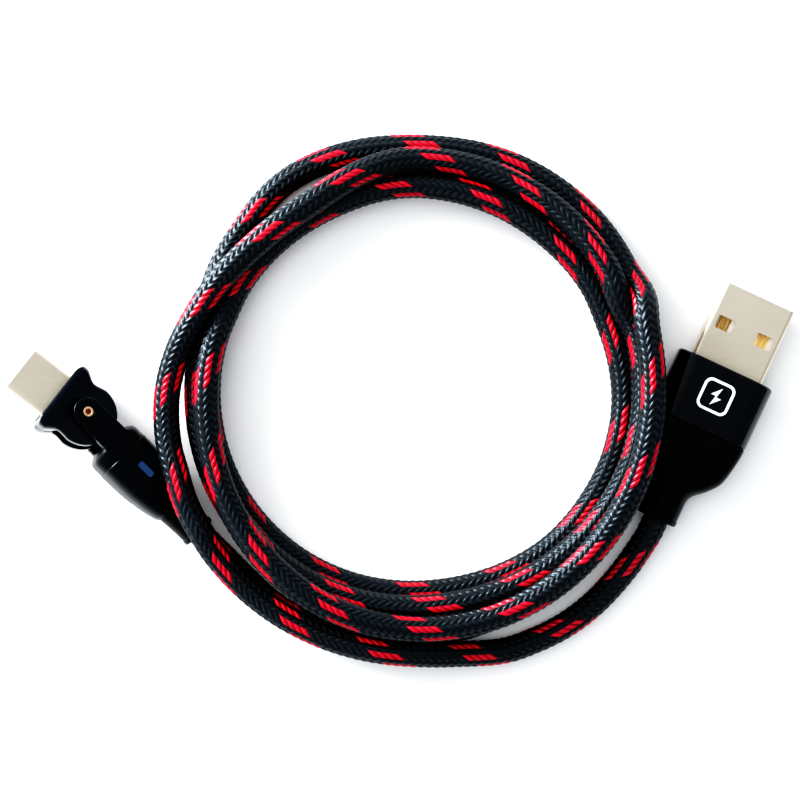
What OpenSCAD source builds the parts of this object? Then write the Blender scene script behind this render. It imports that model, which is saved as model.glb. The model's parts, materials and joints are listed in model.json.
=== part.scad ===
// Braided USB charging cable, about one metre long, wound into a loose flat coil.
// One end is a USB-A plug. The other end is a USB-C plug on a hinged head that swings
// 90 degrees to either side of its handle.
// Millimetres, +Z up. The origin is on the table, at the middle of the two plugs.

/* [USB-A plug] */
// Width of the steel plug shell
usb_a_w = 12; // [11.8:0.1:12.2]
// Height of the steel plug shell
usb_a_h = 4.5; // [4.3:0.1:4.7]
// Length of shell that shows in front of the cover
usb_a_reach = 12.5; // [11:0.5:14]
// Width of the glossy cover
cover_w = 16.3; // [15.8:0.1:18]
// Height of the glossy cover
cover_h = 8; // [8:0.1:10]
// Length of the straight part of the cover
cover_len = 10.5; // [9:0.5:12]
// Length of the rounded shoulder and neck behind the cover
boot_len = 15.9; // [15.4:0.1:17]
// Direction that the plug points in, anticlockwise from +X
usb_a_turn = 65; // [60:1:70]

/* [USB-C plug] */
// Width of the steel plug shell
usb_c_w = 8.25; // [8.1:0.05:8.35]
// Height of the steel plug shell
usb_c_h = 2.4; // [2.3:0.05:2.5]
// Length of shell that shows in front of the head
usb_c_reach = 6.6; // [6:0.1:7]
// Greatest width of the flared lip
lip_w = 12; // [11.4:0.1:12.2]
// Greatest height of the flared lip
lip_h = 6.8; // [6.4:0.1:6.8]
// Angle of the head to the handle as it lies
head_swing = 7.5; // [0:0.5:20]

/* [Hinge and handle] */
// Radius of the round knuckle on the head
knuckle_r = 5.05; // [4.8:0.05:5.1]
// Half the thickness of the knuckle
knuckle_half = 2.6; // [2.5:0.05:2.6]
// Radius of the plain shank of a pivot screw
screw_r = 0.6; // [0.5:0.05:0.7]
// Running clearance of the knuckle on the screw
pivot_gap = 0.05; // [0.03:0.01:0.08]
// Width of a fork arm
arm_w = 4.7; // [4.3:0.1:4.9]
// Width of the handle
handle_w = 9; // [8.8:0.1:9.4]
// Height of the handle
handle_h = 8.2; // [8.2:0.1:8.6]
// Direction that the handle points in, anticlockwise from +X
usb_c_turn = 134.5; // [130:0.5:140]
// Roll of the handle as it lies
usb_c_roll = 22; // [16:1:24]
// Rise of the handle towards the plug as it lies
usb_c_pitch = 5.5; // [4:0.5:6]

/* [Cord] */
// Diameter of the braided cord
cord_d = 4.2; // [4:0.1:4.4]
// Outer radius of the coil
coil_r = 41.3; // [40.5:0.1:41.4]
// Width of the band of turns, from the inside to the outside of the coil
coil_band = 10.1; // [9:0.1:10.5]
// Height of the coil, two cords deep
coil_h = 8.4; // [8.4:0.1:9]

/* [Hidden] */
$fn = 48;

// A cut runs this far past the face that it opens
past = 1;
// Clearance between pieces that sit close together
ease = 0.05;

// Places on the table, as X, Y and height of the axis
usb_a_place = [51.8, 7.2, cover_h / 2];
pivot_place = [-50.5, -0.4, 5.6];
coil_place = [1.4, 2.3, 0];

// USB-A: the front of the cover is at local X 0 and the tip is at +usb_a_reach
shell_wall = 0.3;
shell_back = -6.2;
cover_round = 3.4;
window_size = [2.1, 2.9];
window_x = usb_a_reach - 6.25;
window_y = 3.35;
contact_w = 1;
contact_t = 0.2;
contact_y = [-3.5, -1, 1, 3.5];
board_a = [8, 10, 0.8];
board_a_back = shell_back - 0.1 - board_a.x;
shield_back = board_a_back - 2;
shield_t = 0.25;
shield_w = usb_a_w + 2 * ease + 2 * shield_t;
shield_h = usb_a_h + 2 * ease + 2 * shield_t;
boot_back = -cover_len - boot_len;
cable_a_front = shield_back - 0.8;
crimp_len = 3;
crimp_t = 0.4;
// Half width and half height of the shoulder and neck, from the cover backwards
boot_shape = [
    [0, 8.05, 3.95], [1.2, 8, 3.95], [2.8, 7.8, 3.9], [5.2, 7.4, 3.85], [6.6, 7, 3.8],
    [7.8, 6.2, 3.7], [9, 5.1, 3.55], [10, 3.95, 3.4], [10.8, 3.4, 3.25], [11.6, 3.2, 3.2],
    [14.9, 3.2, 3.2], [15.1, 3.3, 3.3], [15.6, 3.3, 3.3], [15.9, 3.1, 3.1]
];

// USB-C: the pivot is at local X 0, and the plug points along +X
lip_back = 2.75;
lip_front = 5.9;
usb_c_tip = lip_front + usb_c_reach;
usb_c_back = 3.2;
shell_c_wall = 0.3;
tongue_slot = [6.7, 0.9];
board_c = [2.4, 5.6, 0.6];
wire_d = 0.75;
wire_pitch = 0.84;
channel = 1.3;
arm_t = 1.2;
arm_inner = knuckle_half + 0.3;
washer_t = 0.2;
screw_head_r = 0.85;
screw_head_t = 0.5;
yoke_front = knuckle_r + 0.4;
lip_sweep = norm([4.1, lip_w / 2]) + 0.3;
seam = -8.7;
sleeve_back = -20.2;
relief_back = -26.2;
handle_round = 3.4;
cable_c_front = -16.6;
led_x = -12.8;
window_slot = [3, 1.2];
// Half width and half height of the handle behind the seam
sleeve_shape = [
    [0, 4.5, 4.1], [2.6, 4.5, 4.1], [5, 4.4, 4], [7, 4.2, 3.85], [8.6, 3.95, 3.65],
    [10, 3.65, 3.4], [11, 3.4, 3.2], [11.5, 3.2, 3.1]
];

// The cord's way from the USB-A neck to the coil, as points on its middle
tail_route = [
    [40.6, -16.8, 4], [39.2, -19.8, 3.6], [37.2, -23, 3], [34.4, -26.6, 2.5],
    [30.6, -30.6, 2.2], [26, -34, 2.1], [20.5, -36.6, 2.2], [15, -38.2, 2.6]
];

module at_usb_a() {
    translate(usb_a_place) rotate([0, 0, usb_a_turn]) children();
}

module at_handle() {
    translate(pivot_place) rotate([0, 0, usb_c_turn]) rotate([0, -usb_c_pitch, 0])
        rotate([usb_c_roll, 0, 0]) children();
}

module at_head() {
    at_handle() rotate([0, 0, head_swing]) children();
}

// A rectangle w by h with round corners, made of true arcs
module round_rect(w, h, r) {
    square([w - 2 * r, h], center = true);
    square([w, h - 2 * r], center = true);
    for (x = [-1, 1], y = [-1, 1])
        translate([x * (w / 2 - r), y * (h / 2 - r)]) circle(r);
}

// A bar along X from x0 to x1 with a round-cornered section
module bar(x0, x1, w, h, r) {
    translate([x0, 0, 0]) rotate([90, 0, 90]) linear_extrude(x1 - x0) round_rect(w, h, r);
}

// A round rod along X from x0 to x1
module rod(x0, x1, r) {
    translate([x0, 0, 0]) rotate([0, 90, 0]) cylinder(r = r, h = x1 - x0);
}

// A box along X from x0 to x1, centred on Y and Z
module block(x0, x1, w, h) {
    translate([x0, -w / 2, -h / 2]) cube([x1 - x0, w, h]);
}

function curve_part(value, power) = sign(value) * pow(abs(value), 2 / power);

// A skin over sections [distance back, half width, half height], from x0 backwards
module loft(x0, shape, power) {
    sides = 36;
    rings = len(shape);
    points = [
        for (s = shape, i = [0 : sides - 1])
            [x0 - s[0],
             s[1] * curve_part(cos(i * 360 / sides), power),
             s[2] * curve_part(sin(i * 360 / sides), power)]
    ];
    skin = [
        for (k = [0 : rings - 2], i = [0 : sides - 1])
            let (j = (i + 1) % sides, a = k * sides, b = a + sides)
                [a + i, a + j, b + j, b + i]
    ];
    front = [[for (i = [sides - 1 : -1 : 0]) i]];
    back = [[for (i = [0 : sides - 1]) (rings - 1) * sides + i]];
    polyhedron(points, concat(skin, front, back), convexity = 4);
}

function unit(v) = v / norm(v);

// Direction of a route at point i
function way(route, i) =
    unit(route[min(i + 1, len(route) - 1)] - route[max(i - 1, 0)]);

// A tube of ten sides swept along a route
module tube(route, r) {
    sides = 10;
    rings = len(route);
    points = [
        for (k = [0 : rings - 1], i = [0 : sides - 1])
            let (
                t = k == 0 ? [-cos(usb_a_turn), -sin(usb_a_turn), 0] : way(route, k),
                side = unit(cross(t, [0, 0, 1])),
                up = cross(side, t)
            )
                route[k] + r * (side * cos(i * 360 / sides) + up * sin(i * 360 / sides))
    ];
    skin = [
        for (k = [0 : rings - 2], i = [0 : sides - 1])
            let (j = (i + 1) % sides, a = k * sides, b = a + sides)
                [a + i, b + i, b + j, a + j]
    ];
    start = [[for (i = [0 : sides - 1]) i]];
    end = [[for (i = [sides - 1 : -1 : 0]) (rings - 1) * sides + i]];
    polyhedron(points, concat(skin, start, end), convexity = 4);
}

// Four insulated conductors side by side in two rows
module wire_bundle(x0, x1) {
    for (y = [-0.5, 0.5], z = [-0.5, 0.5])
        translate([0, y * wire_pitch, z * wire_pitch]) rod(x0, x1, wire_d / 2);
}

// USB-A plug

module usb_a_shell() {
    color("gainsboro") at_usb_a() difference() {
        bar(shell_back, usb_a_reach, usb_a_w, usb_a_h, 0.7);
        bar(shell_back - past, usb_a_reach + past, usb_a_w - 2 * shell_wall,
            usb_a_h - 2 * shell_wall, 0.4);
        for (y = [-window_y, window_y])
            translate([window_x, y, -usb_a_h]) linear_extrude(2 * usb_a_h)
                round_rect(window_size.x, window_size.y, 0.4);
    }
}

module usb_a_insulator() {
    inner_w = usb_a_w - 2 * shell_wall - 2 * ease;
    inner_h = usb_a_h - 2 * shell_wall - 2 * ease;
    color("ivory") at_usb_a() difference() {
        bar(shell_back, usb_a_reach - 0.5, inner_w, inner_h, 0.4);
        translate([-0.5, -inner_w, 0]) cube([2 * usb_a_reach, 2 * inner_w, inner_h]);
        for (y = contact_y)
            translate([shell_back - past, y - contact_w / 2 - ease, 0])
                cube([10, contact_w + 2 * ease, contact_t + ease]);
    }
}

module usb_a_contacts() {
    color("goldenrod") at_usb_a() for (y = contact_y)
        translate([shell_back - 2.5, y - contact_w / 2, 0])
            cube([abs(y) > 2 ? 17 : 16, contact_w, contact_t]);
}

module usb_a_board() {
    color("darkgreen") at_usb_a() translate([board_a_back, -board_a.y / 2, -board_a.z])
        cube(board_a);
}

module usb_a_shield() {
    color("silver") at_usb_a() difference() {
        bar(shield_back, -1, shield_w, shield_h, 0.8);
        bar(shield_back + shield_t, 0, usb_a_w + 2 * ease, usb_a_h + 2 * ease, 0.6);
        rod(shield_back - past, shield_back + past, 1.6);
    }
}

module usb_a_cover() {
    color([0.05, 0.05, 0.06]) at_usb_a() difference() {
        bar(-cover_len, 0, cover_w, cover_h, cover_round);
        bar(-cover_len - past, -0.8, shield_w + 2 * ease, shield_h + 2 * ease, 0.8);
        bar(-cover_len - past, past, usb_a_w + 2 * ease, usb_a_h + 2 * ease, 0.7);
    }
}

module usb_a_boot() {
    color([0.08, 0.08, 0.09]) at_usb_a() difference() {
        loft(-cover_len, boot_shape, 3.2);
        bar(shield_back - ease, -cover_len + past, shield_w + 2 * ease,
            shield_h + 2 * ease, 0.8);
        rod(cable_a_front - crimp_len - ease, shield_back, cord_d / 2 + crimp_t + ease);
        rod(boot_back - past, shield_back, cord_d / 2);
    }
}

// A plain lightning bolt in a rounded frame, printed on the cover
module usb_a_mark() {
    print_t = 0.05;
    frame_side = 5.2;
    frame_line = 0.45;
    color("white") at_usb_a() translate([-4.9, 0, cover_h / 2]) linear_extrude(print_t) {
        difference() {
            round_rect(frame_side, frame_side, 1.2);
            round_rect(frame_side - 2 * frame_line, frame_side - 2 * frame_line, 0.8);
        }
        polygon([[1.6, -0.5], [0.1, 0.95], [0.1, 0.1], [-1.6, 0.5], [-0.1, -0.95], [-0.1, -0.1]]);
    }
}

module usb_a_wires() {
    wires_front = board_a_back + 2;
    color("firebrick") at_usb_a() for (y = [-1.5, -0.5, 0.5, 1.5])
        translate([0, y * 0.8, wire_d / 2 + ease]) rod(cable_a_front, wires_front, wire_d / 2);
}

module usb_a_crimp() {
    color("silver") at_usb_a() difference() {
        rod(cable_a_front - crimp_len, cable_a_front, cord_d / 2 + crimp_t);
        rod(cable_a_front - crimp_len - past, cable_a_front + past, cord_d / 2);
    }
}

module usb_a_cable_end() {
    color("dimgray") at_usb_a() rod(boot_back, cable_a_front, cord_d / 2);
}

// Cord

module coil_section() {
    translate([coil_r - coil_band / 2, coil_h / 2]) round_rect(coil_band, coil_h, cord_d / 2);
}

module cord_coil() {
    color("crimson") difference() {
        translate(coil_place) rotate_extrude() coil_section();
        at_usb_a() {
            bar(-cover_len - 10.2, past, cover_w + 0.6, 40, 0.5);
            bar(boot_back - 0.3, 0, 8, 40, 0.5);
        }
        at_handle() {
            rod(relief_back, 0, 3.3);
            rod(sleeve_back - 0.4, 0, 4.9);
            cylinder(r = usb_c_tip + 1.1, h = 40, center = true);
        }
    }
}

module cord_tail() {
    color("crimson") tube(tail_route, cord_d / 2);
}

// Handle of the USB-C end

module handle_cable_end() {
    color("dimgray") at_handle() rod(relief_back, cable_c_front, cord_d / 2);
}

module strain_relief() {
    color([0.1, 0.1, 0.11]) at_handle() translate([relief_back, 0, 0]) rotate([0, 90, 0])
        rotate_extrude() polygon([
            [cord_d / 2, 0], [2.75, 0], [2.9, 0.2], [2.9, 0.7], [2.75, 0.9],
            [2.8, 3.4], [3, sleeve_back - relief_back], [cord_d / 2, sleeve_back - relief_back]
        ]);
}

module handle_sleeve() {
    color([0.06, 0.06, 0.07]) at_handle() difference() {
        loft(seam, sleeve_shape, 3);
        bar(-16.2, seam + past, 6.6, 5.6, 1.5);
        rod(sleeve_back - past, -10, cord_d / 2 + crimp_t + ease);
        translate([led_x, 0, 0]) linear_extrude(handle_h)
            round_rect(window_slot.x, window_slot.y, 0.4);
    }
}

module handle_crimp() {
    color("silver") at_handle() difference() {
        rod(cable_c_front - crimp_len, cable_c_front, cord_d / 2 + crimp_t);
        rod(cable_c_front - crimp_len - past, cable_c_front + past, cord_d / 2);
    }
}

module handle_wires() {
    color("firebrick") at_handle() wire_bundle(cable_c_front, -0.5);
}

module led_board() {
    color("darkgreen") at_handle() translate([led_x - 3, -2.2, 1]) cube([6, 4.4, 0.6]);
}

module led() {
    color("white") at_handle() translate([led_x - 0.8, -0.4, 1.6]) cube([1.6, 0.8, 0.6]);
}

module led_window() {
    color("steelblue") at_handle() translate([led_x, 0, 2.3])
        linear_extrude(handle_h / 2 - 2.3 - 0.02)
            round_rect(window_slot.x - 2 * ease, window_slot.y - 2 * ease, 0.35);
}

module arm_outline() {
    circle(arm_w / 2);
    translate([-yoke_front - 1.5, -arm_w / 2]) square([yoke_front + 1.5, arm_w]);
}

module yoke() {
    color([0.07, 0.07, 0.08]) at_handle() difference() {
        union() {
            intersection() {
                bar(seam, -4, handle_w, handle_h, handle_round);
                translate([-12, 0, -handle_h]) linear_extrude(2 * handle_h)
                    polygon([[0, -5], [6.2, -5], [7.1, -2], [7.1, 2], [6.2, 5], [0, 5]]);
            }
            for (side = [0, 1]) mirror([0, 0, side])
                translate([0, 0, arm_inner]) linear_extrude(arm_t) arm_outline();
        }
        cylinder(r = yoke_front, h = 2 * arm_inner, center = true);
        difference() {
            cylinder(r = lip_sweep, h = lip_h + 0.6, center = true);
            block(-10, 10, arm_w, 20);
        }
        block(seam - past, -4, 5, 4);
        cylinder(r = screw_r + 0.02, h = 4 * arm_inner, center = true);
        for (side = [0, 1]) mirror([0, 0, side])
            translate([0, 0, arm_inner + arm_t - screw_head_t])
                cylinder(r = screw_head_r + 0.1, h = past);
    }
}

module pivot_screws() {
    shank_from = channel + 0.1;
    head_from = arm_inner + arm_t - screw_head_t;
    color("peru") at_handle() for (side = [0, 1]) mirror([0, 0, side]) difference() {
        union() {
            translate([0, 0, shank_from]) cylinder(r = screw_r, h = head_from - shank_from);
            translate([0, 0, head_from]) cylinder(r = screw_head_r, h = screw_head_t);
        }
        for (turn = [0, 60, 120]) rotate([0, 0, turn])
            translate([-0.45, -0.12, head_from + 0.2]) cube([0.9, 0.24, screw_head_t]);
    }
}

module pivot_washers() {
    color("silver") at_handle() for (side = [0, 1]) mirror([0, 0, side])
        translate([0, 0, knuckle_half + ease]) difference() {
            cylinder(r = 2, h = washer_t);
            translate([0, 0, -past]) cylinder(r = screw_r + 0.05, h = 3 * past);
        }
}

// Hinged head of the USB-C end

// The head seen from above: round knuckle, waist and flared lip
module head_outline() {
    half_lip = lip_w / 2;
    circle(knuckle_r);
    polygon([
        [0, -4.9], [1.6, -4.7], [lip_back, -4.6], [3.5, -half_lip], [4.1, -half_lip],
        [lip_front, -5.4], [lip_front, 5.4], [4.1, half_lip], [3.5, half_lip],
        [lip_back, 4.6], [1.6, 4.7], [0, 4.9]
    ]);
}

// One half of the head, above the parting plane
module head_half() {
    half_h = lip_h / 2;
    difference() {
        intersection() {
            linear_extrude(lip_h) head_outline();
            translate([0, 10, 0]) rotate([90, 0, 0]) linear_extrude(20) polygon([
                [-6, 0], [-6, knuckle_half], [lip_back, knuckle_half], [3.4, half_h],
                [4.1, half_h], [lip_front, half_h - 0.3], [lip_front, 0]
            ]);
        }
        translate([0, 0, -past]) cylinder(r = knuckle_r + past, h = channel + past);
        block(2, 4.5, board_c.y + 0.4, 1.4);
        bar(usb_c_back - ease, lip_front + past, usb_c_w + 2 * ease, usb_c_h + 2 * ease,
            usb_c_h / 2 - 0.01);
        cylinder(r = screw_r + pivot_gap, h = 3 * knuckle_half);
    }
}

module head_upper() {
    color([0.05, 0.05, 0.07]) at_head() union() {
        head_half();
        head_bridge();
    }
}

module head_lower() {
    color([0.05, 0.05, 0.07]) at_head() mirror([0, 0, 1]) union() {
        head_half();
        head_bridge();
    }
}

// Walls that close the front of the wire channel down to the parting plane
module head_bridge() {
    difference() {
        for (side = [0, 1]) mirror([0, side, 0])
            translate([lip_back, 3, 0]) cube([0.4, 1.6, channel]);
        bar(usb_c_back - ease, lip_front + past, usb_c_w + 2 * ease, usb_c_h + 2 * ease,
            usb_c_h / 2 - 0.01);
    }
}

module usb_c_shell() {
    color("gainsboro") at_head() difference() {
        bar(usb_c_back, usb_c_tip, usb_c_w, usb_c_h, usb_c_h / 2 - 0.01);
        bar(usb_c_back - past, usb_c_tip + past, usb_c_w - 2 * shell_c_wall,
            usb_c_h - 2 * shell_c_wall, usb_c_h / 2 - shell_c_wall - 0.01);
    }
}

module usb_c_insulator() {
    inner_w = usb_c_w - 2 * shell_c_wall - 2 * ease;
    inner_h = usb_c_h - 2 * shell_c_wall - 2 * ease;
    color("black") at_head() difference() {
        bar(board_c.x + 2.4, usb_c_tip - 0.4, inner_w, inner_h, inner_h / 2 - 0.01);
        block(usb_c_tip - 6, usb_c_tip, tongue_slot.x, tongue_slot.y);
    }
}

module usb_c_contacts() {
    pitch = 0.5;
    color("goldenrod") at_head() for (k = [-5.5 : 1 : 5.5], side = [0, 1])
        mirror([0, 0, side])
            translate([usb_c_tip - 5.6, k * pitch - 0.13, tongue_slot.y / 2 - 0.12])
                cube([4.6, 0.26, 0.12]);
}

module usb_c_latches() {
    color("silver") at_head() for (side = [0, 1]) mirror([0, side, 0])
        translate([usb_c_tip - 5.8, tongue_slot.x / 2 - 0.15, -0.35]) cube([5, 0.15, 0.7]);
}

module usb_c_board() {
    color("darkgreen") at_head() block(2.3, 2.3 + board_c.x, board_c.y, board_c.z);
}

module head_wires() {
    color("firebrick") at_head() for (y = [-0.5, 0.5], side = [0, 1]) mirror([0, 0, side])
        translate([0, y * wire_pitch, board_c.z / 2 + wire_d / 2 + 0.02])
            rod(1.3, 3.2, wire_d / 2);
}

usb_a_shell();
usb_a_insulator();
usb_a_contacts();
usb_a_board();
usb_a_shield();
usb_a_cover();
usb_a_boot();
usb_a_mark();
usb_a_wires();
usb_a_crimp();
usb_a_cable_end();
cord_coil();
cord_tail();
handle_cable_end();
strain_relief();
handle_sleeve();
handle_crimp();
handle_wires();
led_board();
led();
led_window();
yoke();
pivot_screws();
pivot_washers();
head_upper();
head_lower();
usb_c_shell();
usb_c_insulator();
usb_c_contacts();
usb_c_latches();
usb_c_board();
head_wires();
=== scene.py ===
import json
import math

import bmesh
import bpy
import numpy as np
from mathutils import Matrix, Vector


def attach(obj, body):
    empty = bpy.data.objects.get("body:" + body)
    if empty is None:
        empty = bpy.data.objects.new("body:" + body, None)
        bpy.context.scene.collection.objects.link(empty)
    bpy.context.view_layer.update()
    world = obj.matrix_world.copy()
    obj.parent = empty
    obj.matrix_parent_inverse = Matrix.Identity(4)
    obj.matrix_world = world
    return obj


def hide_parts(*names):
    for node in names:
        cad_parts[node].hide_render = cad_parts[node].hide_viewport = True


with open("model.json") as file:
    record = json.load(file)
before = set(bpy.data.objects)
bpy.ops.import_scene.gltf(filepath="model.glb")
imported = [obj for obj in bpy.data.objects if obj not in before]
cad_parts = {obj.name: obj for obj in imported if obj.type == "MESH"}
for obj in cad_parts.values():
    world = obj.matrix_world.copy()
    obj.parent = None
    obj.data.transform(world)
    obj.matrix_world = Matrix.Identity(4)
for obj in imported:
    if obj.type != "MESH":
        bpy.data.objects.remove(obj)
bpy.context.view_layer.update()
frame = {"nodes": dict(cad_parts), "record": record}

# Lengths below are in millimetres, as in the design. MM turns them into Blender's metres.
MM = 0.001

# Places and directions of the two ends, as in the design
USB_A_PLACE = (51.8, 7.2, 4.0)
USB_A_TURN = 65.0
PIVOT_PLACE = (-50.5, -0.4, 5.6)
USB_C_TURN = 134.5
USB_C_PITCH = 5.5
USB_C_ROLL = 22.0
HEAD_SWING = 7.5
COVER = {"w": 16.3, "h": 8.0, "round": 3.4, "len": 10.5}
USB_A_SHELL = {"w": 12.0, "h": 4.5}
USB_C_SHELL = {"w": 8.25, "h": 2.4, "wall": 0.3}
BOOT_LEN = 15.9
RELIEF_BACK = -26.2
SLEEVE_BACK = -20.2
SEAM = -8.7
CORD_D = 4.2
COIL_PLACE = np.array([1.4, 2.3])

# Half width and half height behind the cover, and behind the handle's seam, by distance back
BOOT_SHAPE = [
    (0, 8.05, 3.95), (1.2, 8, 3.95), (2.8, 7.8, 3.9), (5.2, 7.4, 3.85), (6.6, 7, 3.8),
    (7.8, 6.2, 3.7), (9, 5.1, 3.55), (10, 3.95, 3.4), (10.8, 3.4, 3.25), (11.6, 3.2, 3.2),
    (14.9, 3.2, 3.2), (15.1, 3.3, 3.3), (15.6, 3.3, 3.3), (15.9, 3.1, 3.1),
]
SLEEVE_SHAPE = [
    (0, 4.5, 4.1), (2.6, 4.5, 4.1), (5, 4.4, 4), (7, 4.2, 3.85), (8.6, 3.95, 3.65),
    (10, 3.65, 3.4), (11, 3.4, 3.2), (11.5, 3.2, 3.1),
]

# The cord's way from the USB-A neck to the coil, as in the design
TAIL_ROUTE = [
    (40.6, -16.8, 4), (39.2, -19.8, 3.6), (37.2, -23, 3), (34.4, -26.6, 2.5),
    (30.6, -30.6, 2.2), (26, -34, 2.1), (20.5, -36.6, 2.2), (15, -38.2, 2.6),
]
# Each turn of the coil: radius and height of the cord's middle at the bottom, left, top and
# right of the coil, seen from above. The cord runs clockwise from the USB-A end. After the
# last turn it runs on past the bottom to the handle.
TURNS = [
    [(40.6, 4.8), (39.0, 6.3), (38.4, 5.9), (37.4, 6.6)],
    [(33.4, 5.8), (34.0, 5.9), (40.4, 2.1), (39.0, 9.6)],
    [(36.7, 8.4), (32.7, 9.8), (34.6, 6.0), (34.8, 6.0)],
    [(31.1, 2.1), (32.4, 2.1), (36.2, 2.1), (36.4, 2.1)],
]
COIL_END = [(37.8, 2.1), (40.4, 2.4)]
COIL_END_TURN = 50
# Extra points between the stations, as station and fraction, radius and height: the first turn
# crosses over the second at the upper left, and the second climbs onto the USB-A end
CROSSINGS = [
    (1.17, 37.5, 6.6), (1.26, 36.5, 7.0), (1.37, 35.8, 7.6), (1.51, 35.0, 8.8), (1.67, 35.0, 8.8),
    (1.83, 36.7, 7.2),
    (5.22, 34.8, 4.0), (5.37, 36.6, 2.1), (5.51, 38.1, 2.1), (5.67, 40.2, 2.1), (5.83, 40.6, 2.1),
    (6.3, 41.1, 2.2), (6.5, 41.0, 3.8), (6.75, 39.8, 7.4), (6.88, 39.3, 8.9),
    (9.25, 32.9, 8.4), (9.5, 33.2, 6.2), (9.75, 33.6, 5.9),
    (13.5, 33.8, 2.1),
]

# Camera straight above. The view is VIEW_WIDTH wide at a height of VIEW_LEVEL.
CAMERA_HEIGHT = 380.0
CAMERA_OVER = (-0.16, 2.24)
VIEW_WIDTH = 128.0
VIEW_LEVEL = 3.0


# ---------------------------------------------------------------- frames of the two ends

def turn(axis, degrees):
    return Matrix.Rotation(math.radians(degrees), 4, axis)


AT_USB_A = Matrix.Translation(USB_A_PLACE) @ turn("Z", USB_A_TURN)
AT_HANDLE = (
    Matrix.Translation(PIVOT_PLACE) @ turn("Z", USB_C_TURN) @ turn("Y", -USB_C_PITCH)
    @ turn("X", USB_C_ROLL)
)
AT_HEAD = AT_HANDLE @ turn("Z", HEAD_SWING)


# ---------------------------------------------------------------- camera and light

def make_camera():
    data = bpy.data.cameras.new("camera")
    data.sensor_width = 36
    data.angle = 2 * math.atan(VIEW_WIDTH / 2 / (CAMERA_HEIGHT - VIEW_LEVEL))
    data.clip_start = 0.01
    camera = bpy.data.objects.new("camera", data)
    camera.location = [v * MM for v in (*CAMERA_OVER, CAMERA_HEIGHT)]
    bpy.context.scene.collection.objects.link(camera)
    bpy.context.scene.camera = camera


def area_light(name, place, aim, size, power, colour=(1, 1, 1), mirrored=True):
    """A round soft light. One that isn't mirrored lights surfaces without showing in gloss."""
    data = bpy.data.lights.new(name, "AREA")
    data.shape = "DISK"
    data.size = size * MM
    data.energy = power
    data.color = colour
    lamp = bpy.data.objects.new(name, data)
    lamp.location = [v * MM for v in place]
    direction = Vector(aim) - Vector(place)
    lamp.rotation_euler = direction.to_track_quat("-Z", "Y").to_euler()
    lamp.visible_glossy = mirrored
    bpy.context.scene.collection.objects.link(lamp)


def make_world():
    """A dim bluish room, a little brighter low down at the upper left."""
    world = bpy.data.worlds.new("studio")
    bpy.context.scene.world = world
    world.use_nodes = True
    nodes, links = world.node_tree.nodes, world.node_tree.links
    background = nodes["Background"]
    background.inputs["Color"].default_value = (0.86, 0.94, 1, 1)
    coordinate = nodes.new("ShaderNodeTexCoord")
    side = nodes.new("ShaderNodeVectorMath")
    side.operation = "DOT_PRODUCT"
    side.inputs[1].default_value = (-0.8, 0.5, -0.35)
    links.new(coordinate.outputs["Generated"], side.inputs[0])
    bright = nodes.new("ShaderNodeMapRange")
    bright.inputs["From Min"].default_value = -0.6
    bright.inputs["From Max"].default_value = 0.9
    bright.inputs["To Min"].default_value = 0.36
    bright.inputs["To Max"].default_value = 1.0
    links.new(side.outputs["Value"], bright.inputs["Value"])
    links.new(bright.outputs["Result"], background.inputs["Strength"])


def set_tone():
    """Tone curve of a bright product picture: white table, deep blacks."""
    view = bpy.context.scene.view_settings
    view.view_transform = "Standard"
    view.use_curve_mapping = True
    curves = view.curve_mapping
    curves.white_level = (0.66, 0.66, 0.66)
    curve = curves.curves[3]
    for x, y in ((0.05, 0.012), (0.25, 0.21), (0.6, 0.68)):
        curve.points.new(x, y)
    curves.update()


def make_light():
    make_world()
    area_light("key", (-480, 330, 400), (0, 0, 0), 420, 2.5, (0.97, 0.99, 1), mirrored=False)
    area_light("window", (-520, 330, 150), (0, 0, 5), 280, 7.0, (0.9, 0.96, 1))
    area_light("overhead", (-120, 90, 620), (0, 0, 0), 700, 2.0, (1, 0.99, 0.98), mirrored=False)
    set_tone()


# ---------------------------------------------------------------- materials

def new_material(name, colour, roughness, metallic=0.0):
    """A Principled material. Returns it with its nodes, links and main node."""
    material = bpy.data.materials.new(name)
    material.use_nodes = True
    nodes, links = material.node_tree.nodes, material.node_tree.links
    shader = nodes["Principled BSDF"]
    shader.inputs["Base Color"].default_value = (*colour, 1)
    shader.inputs["Roughness"].default_value = roughness
    shader.inputs["Metallic"].default_value = metallic
    return material, nodes, links, shader


def noise(nodes, links, scale, detail=4.0, stretch=None):
    """Noise over the object's own space, in features per metre."""
    coordinate = nodes.new("ShaderNodeTexCoord")
    texture = nodes.new("ShaderNodeTexNoise")
    texture.inputs["Scale"].default_value = scale
    texture.inputs["Detail"].default_value = detail
    if stretch is None:
        links.new(coordinate.outputs["Object"], texture.inputs["Vector"])
    else:
        mapping = nodes.new("ShaderNodeMapping")
        mapping.inputs["Scale"].default_value = stretch
        mapping.inputs["Rotation"].default_value = (0, 0, -math.radians(USB_A_TURN))
        links.new(coordinate.outputs["Object"], mapping.inputs["Vector"])
        links.new(mapping.outputs["Vector"], texture.inputs["Vector"])
    return texture


def ramp(nodes, links, source, low, high, start=0.3, end=0.7):
    """Colours or greys from low to high as the source goes from start to end."""
    mix = nodes.new("ShaderNodeValToRGB")
    mix.color_ramp.elements[0].position = start
    mix.color_ramp.elements[1].position = end
    mix.color_ramp.elements[0].color = (*low, 1)
    mix.color_ramp.elements[1].color = (*high, 1)
    links.new(source, mix.inputs["Fac"])
    return mix.outputs["Color"]


def add_bump(nodes, links, shader, height, strength, depth):
    bump = nodes.new("ShaderNodeBump")
    bump.inputs["Strength"].default_value = strength
    bump.inputs["Distance"].default_value = depth * MM
    links.new(height, bump.inputs["Height"])
    links.new(bump.outputs["Normal"], shader.inputs["Normal"])


def grey(value):
    return (value, value, value)


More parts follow.
